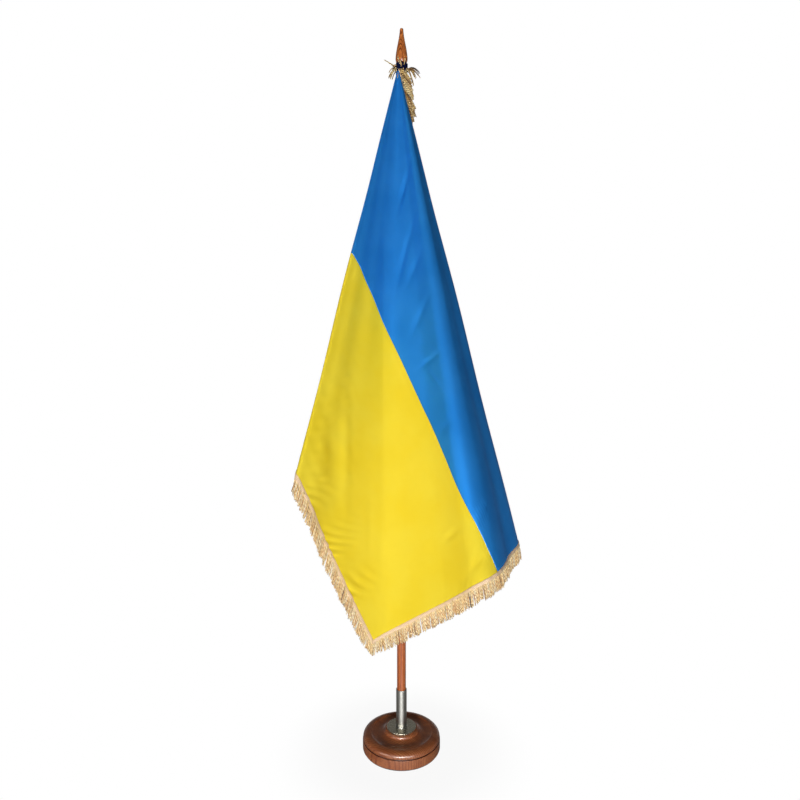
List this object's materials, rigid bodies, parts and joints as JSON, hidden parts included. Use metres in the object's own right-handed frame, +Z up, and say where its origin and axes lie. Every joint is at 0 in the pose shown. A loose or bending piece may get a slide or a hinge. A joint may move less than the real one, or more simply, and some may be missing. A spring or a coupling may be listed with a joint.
{
  "type": "flag pole stand",
  "caption": "Round turned wooden floor base with a steel socket holding a wooden pole, a spear finial and a hanging fringed two-stripe flag.",
  "frame": {"origin": "centre of the felt's underside, where the pole's axis meets the floor", "axes": "+Z up along the pole, -Y towards the viewer, +X to the viewer's right"},
  "size_m": [0.6684, 0.6978, 2.495],
  "materials": {
    "dark_wood": "dark stain under satin varnish",
    "felt": "pressed felt",
    "plain_steel": "plain zinc plated",
    "satin_steel": "satin stainless",
    "rubber_pad": "matt",
    "pole_wood": "orange brown stain under gloss varnish",
    "finial_wood": "red brown stain under gloss varnish",
    "insert_brass": "plain",
    "blue_satin": "satin weave",
    "yellow_satin": "satin weave",
    "braid": "woven heading",
    "fringe_yarn": "twisted viscose cords"
  },
  "bodies": {
    "stand": {"base_disc": "dark_wood", "base_felt": "felt", "ballast_plate": "plain_steel", "socket_flange": "satin_steel", "socket_tube": "satin_steel", "socket_plug": "plain_steel", "clamp_bolt": "plain_steel", "lock_washer": "plain_steel", "flat_washer": "plain_steel"},
    "pad": {"socket_pad": "rubber_pad"},
    "pole": {"pole_shaft": "pole_wood", "finial_stud": "plain_steel"},
    "finial": {"finial": "finial_wood", "finial_insert": "insert_brass"},
    "flag": {"upper_sleeve": "blue_satin", "lower_sleeve": "yellow_satin", "upper_stripe": "blue_satin", "lower_stripe": "yellow_satin", "hem_braid": "braid", "fly_braid": "braid", "top_braid": "braid", "hem_fringe": "fringe_yarn", "fly_fringe": "fringe_yarn", "top_fringe": "fringe_yarn", "collar_fringe": "fringe_yarn"}
  },
  "joints": [
    {"name": "pole_turn", "type": "hinge", "parent": "stand", "child": "pad", "pos_m": [0, 0, 0.1], "axis": [0, 0, 1], "continuous": true},
    {"name": "pole_lift", "type": "slide", "parent": "pad", "child": "pole", "axis": [0, 0, 1], "range_m": [0, 0.13]},
    {"name": "finial_turn", "type": "hinge", "parent": "pole", "child": "finial", "pos_m": [0, 0, 2.384], "axis": [0, 0, 1], "continuous": true},
    {"name": "flag_turn", "type": "hinge", "parent": "pole", "child": "flag", "pos_m": [0, 0, 2.384], "axis": [0, 0, 1], "continuous": true}
  ]
}
